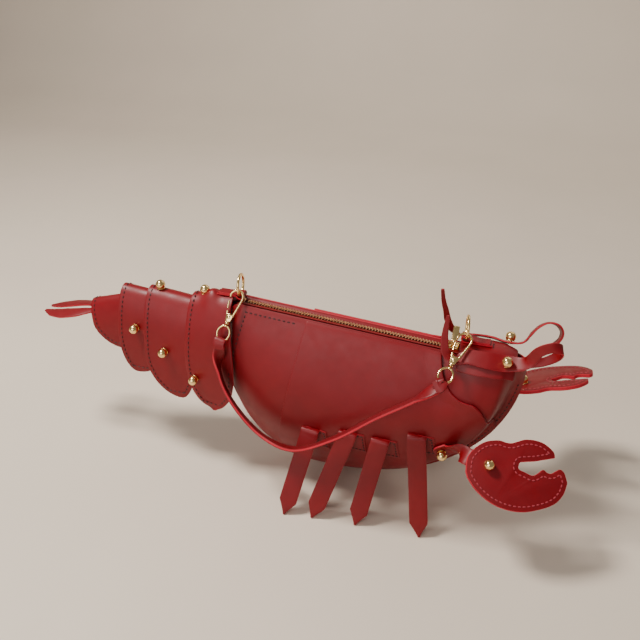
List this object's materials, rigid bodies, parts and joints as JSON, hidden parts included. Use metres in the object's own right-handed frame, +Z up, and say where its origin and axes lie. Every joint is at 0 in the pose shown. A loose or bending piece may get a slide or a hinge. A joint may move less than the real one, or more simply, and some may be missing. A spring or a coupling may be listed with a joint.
{
  "type": "lobster-shaped handbag",
  "caption": "Red leather clutch bag shaped like a lobster, with a zip, a clip-on wrist strap and a riveted tail, claws, legs and feelers.",
  "frame": {"origin": "on the straight stretch of the bottom seam that the bag stands on, midway between the two sides", "axes": "+X towards the head, -Y towards the side with the strap, +Z up"},
  "size_m": [0.4767, 0.1558, 0.1857],
  "materials": {
    "leather": "smooth, satin",
    "hardware": "polished gold plate",
    "zip_metal": "rose gold, bright",
    "lining": "matt woven"
  },
  "bodies": {
    "pouch": {"front_panel": "leather", "back_panel": "leather", "front_overlay": "leather", "back_overlay": "leather", "lining": "lining", "head_cap": "leather", "zip_tape_front": "leather", "zip_tape_back": "leather", "zip_teeth_front": "zip_metal", "zip_teeth_back": "zip_metal", "zip_stop_tail": "zip_metal", "zip_stop_head": "zip_metal", "tail_segment_4": "leather", "tail_rivet_4_front": "hardware", "tail_rivet_4_back": "hardware", "ridge_rivet_4": "hardware", "ring_tail": "hardware", "ring_head": "hardware", "tab_tail": "leather", "tab_head": "leather", "arm_rivet_front": "hardware", "arm_rivet_back": "hardware", "head_rivet_front": "hardware", "head_rivet_back": "hardware"},
    "tail_3": {"tail_segment_3": "leather", "tail_rivet_3_front": "hardware", "tail_rivet_3_back": "hardware", "ridge_rivet_3": "hardware"},
    "tail_2": {"tail_segment_2": "leather", "tail_rivet_2_front": "hardware", "tail_rivet_2_back": "hardware"},
    "tail_1": {"tail_segment_1": "leather", "tail_fin_front": "leather", "tail_fin_back": "leather"},
    "zip_slider": {"zip_slider": "hardware"},
    "zip_pull": {"zip_pull": "hardware"},
    "handle": {"hook_tail": "hardware", "hook_head": "hardware", "strap_eye_tail": "hardware", "strap_eye_head": "hardware", "strap": "leather"},
    "gate_tail": {"hook_gate_tail": "hardware"},
    "gate_head": {"hook_gate_head": "hardware"},
    "leg_front_1": {"leg_front_1": "leather"},
    "leg_front_2": {"leg_front_2": "leather"},
    "leg_front_3": {"leg_front_3": "leather"},
    "leg_front_4": {"leg_front_4": "leather"},
    "arm_front": {"arm_front": "leather", "claw_rivet_front": "hardware"},
    "claw_front": {"claw_front": "leather"},
    "antenna_front": {"antenna_front": "leather"},
    "leg_back_1": {"leg_back_1": "leather"},
    "leg_back_2": {"leg_back_2": "leather"},
    "leg_back_3": {"leg_back_3": "leather"},
    "leg_back_4": {"leg_back_4": "leather"},
    "arm_back": {"arm_back": "leather", "claw_rivet_back": "hardware"},
    "claw_back": {"claw_back": "leather"},
    "antenna_back": {"antenna_back": "leather"}
  },
  "joints": [
    {"name": "tail_3_hinge", "type": "hinge", "parent": "pouch", "child": "tail_3", "pos_m": [-0.108, 0, 0.091], "axis": [0, 1, 0], "range_deg": [-5, 4]},
    {"name": "tail_2_hinge", "type": "hinge", "parent": "tail_3", "child": "tail_2", "pos_m": [-0.137, 0, 0.109], "axis": [0, 1, 0], "range_deg": [-6, 4]},
    {"name": "tail_1_hinge", "type": "hinge", "parent": "tail_2", "child": "tail_1", "pos_m": [-0.165, 0, 0.124], "axis": [0, 1, 0], "range_deg": [-6, 4]},
    {"name": "zip_slide", "type": "slide", "parent": "pouch", "child": "zip_slider", "axis": [-0.9973, 0, 0.0728], "range_m": [0, 0.155]},
    {"name": "pull_hinge", "type": "hinge", "parent": "zip_slider", "child": "zip_pull", "pos_m": [0.09836, 0, 0.14823], "axis": [1, 0, 0], "range_deg": [0, 85]},
    {"name": "handle_swing", "type": "hinge", "parent": "pouch", "child": "handle", "pos_m": [-0.074, 0, 0.17], "axis": [-0.9994, 0, 0.0359], "range_deg": [0, 230]},
    {"name": "gate_tail_hinge", "type": "hinge", "parent": "handle", "child": "gate_tail", "pos_m": [-0.08074, -0.01337, 0.1554], "axis": [-0.0205, 0.8213, -0.5701], "range_deg": [0, 22], "stiffness_Nm_per_rad": 0.0005},
    {"name": "gate_head_hinge", "type": "hinge", "parent": "handle", "child": "gate_head", "pos_m": [0.09921, -0.01553, 0.15201], "axis": [-0.0289, 0.5945, -0.8036], "range_deg": [0, 22], "stiffness_Nm_per_rad": 0.0005},
    {"name": "leg_front_1_fold", "type": "hinge", "parent": "pouch", "child": "leg_front_1", "pos_m": [-0.003, -0.04241, 0.069], "axis": [-1, 0, 0], "range_deg": [-12, 20], "stiffness_Nm_per_rad": 0.05},
    {"name": "leg_front_2_fold", "type": "hinge", "parent": "pouch", "child": "leg_front_2", "pos_m": [0.028, -0.04215, 0.073], "axis": [-1, 0, 0], "range_deg": [-12, 50], "stiffness_Nm_per_rad": 0.05},
    {"name": "leg_front_3_fold", "type": "hinge", "parent": "pouch", "child": "leg_front_3", "pos_m": [0.054, -0.04123, 0.071], "axis": [-1, 0, 0], "range_deg": [-12, 70], "stiffness_Nm_per_rad": 0.05},
    {"name": "leg_front_4_fold", "type": "hinge", "parent": "pouch", "child": "leg_front_4", "pos_m": [0.082, -0.03902, 0.08], "axis": [-1, 0, 0], "range_deg": [-12, 70], "stiffness_Nm_per_rad": 0.05},
    {"name": "arm_front_turn", "type": "hinge", "parent": "pouch", "child": "arm_front", "pos_m": [0.10136, -0.03357, 0.06861], "axis": [0.2298, -0.9406, -0.2499], "range_deg": [-20, 20]},
    {"name": "claw_front_turn", "type": "hinge", "parent": "arm_front", "child": "claw_front", "pos_m": [0.137, -0.054, 0.082], "axis": [0.1999, -0.5998, 0.7748], "range_deg": [-35, 35]},
    {"name": "antenna_front_turn", "type": "hinge", "parent": "pouch", "child": "antenna_front", "pos_m": [0.139, -0.01377, 0.14507], "axis": [0, -0.5903, 0.8072], "range_deg": [-1, 8]},
    {"name": "leg_back_1_fold", "type": "hinge", "parent": "pouch", "child": "leg_back_1", "pos_m": [-0.003, 0.04241, 0.069], "axis": [1, 0, 0], "range_deg": [-12, 70], "stiffness_Nm_per_rad": 0.05},
    {"name": "leg_back_2_fold", "type": "hinge", "parent": "pouch", "child": "leg_back_2", "pos_m": [0.028, 0.04215, 0.073], "axis": [1, 0, 0], "range_deg": [-12, 70], "stiffness_Nm_per_rad": 0.05},
    {"name": "leg_back_3_fold", "type": "hinge", "parent": "pouch", "child": "leg_back_3", "pos_m": [0.054, 0.04123, 0.071], "axis": [1, 0, 0], "range_deg": [-12, 70], "stiffness_Nm_per_rad": 0.05},
    {"name": "leg_back_4_fold", "type": "hinge", "parent": "pouch", "child": "leg_back_4", "pos_m": [0.082, 0.03902, 0.08], "axis": [1, 0, 0], "range_deg": [-12, 70], "stiffness_Nm_per_rad": 0.05},
    {"name": "arm_back_turn", "type": "hinge", "parent": "pouch", "child": "arm_back", "pos_m": [0.11446, 0.03232, 0.07762], "axis": [0.2958, 0.9241, -0.242], "range_deg": [-20, 20]},
    {"name": "claw_back_turn", "type": "hinge", "parent": "arm_back", "child": "claw_back", "pos_m": [0.1569, 0.045, 0.0881], "axis": [-0.2771, 0.2401, 0.9304], "range_deg": [-35, 35]},
    {"name": "antenna_back_turn", "type": "hinge", "parent": "pouch", "child": "antenna_back", "pos_m": [0.139, 0.01377, 0.14507], "axis": [0, -0.5903, -0.8072], "range_deg": [-1, 8]}
  ]
}
